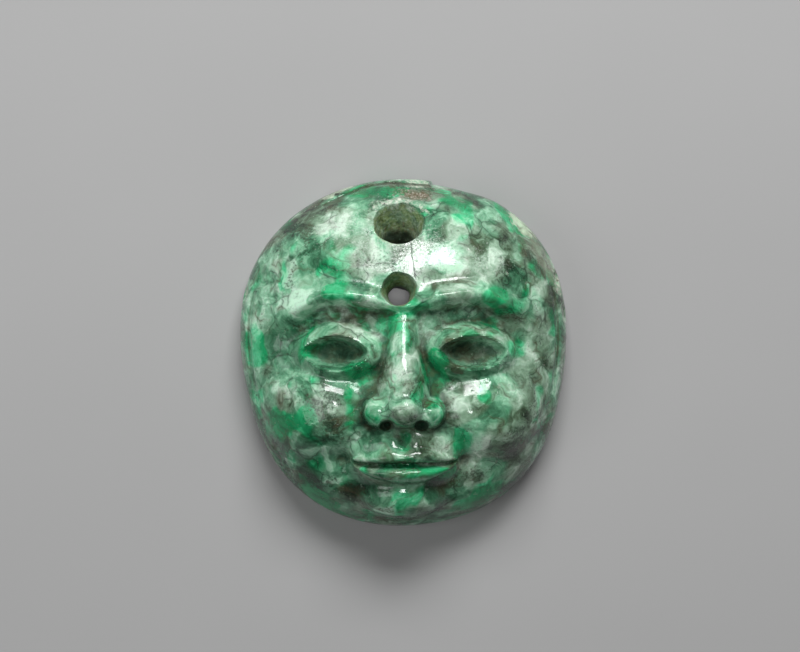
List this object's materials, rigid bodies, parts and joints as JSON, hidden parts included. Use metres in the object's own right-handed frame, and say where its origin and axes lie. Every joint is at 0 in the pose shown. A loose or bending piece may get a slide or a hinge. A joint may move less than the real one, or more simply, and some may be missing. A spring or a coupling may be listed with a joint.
{
  "type": "mask ornament",
  "caption": "Small domed face mask carved from mottled green stone, hollow behind and drilled through the forehead and between the brows for hanging.",
  "frame": {"origin": "middle of the underside, on the plane of the back rim that the mask lies on", "axes": "+Z out of the carved front, away from the hollow back; +Y towards the crown of the head; +X to the right of a viewer who faces the mask"},
  "size_m": [0.055, 0.0584, 0.0245],
  "materials": {
    "jade": "highly polished mottled green and white stone with dark veins"
  },
  "bodies": {
    "root": {"mask": "jade"}
  },
  "joints": []
}
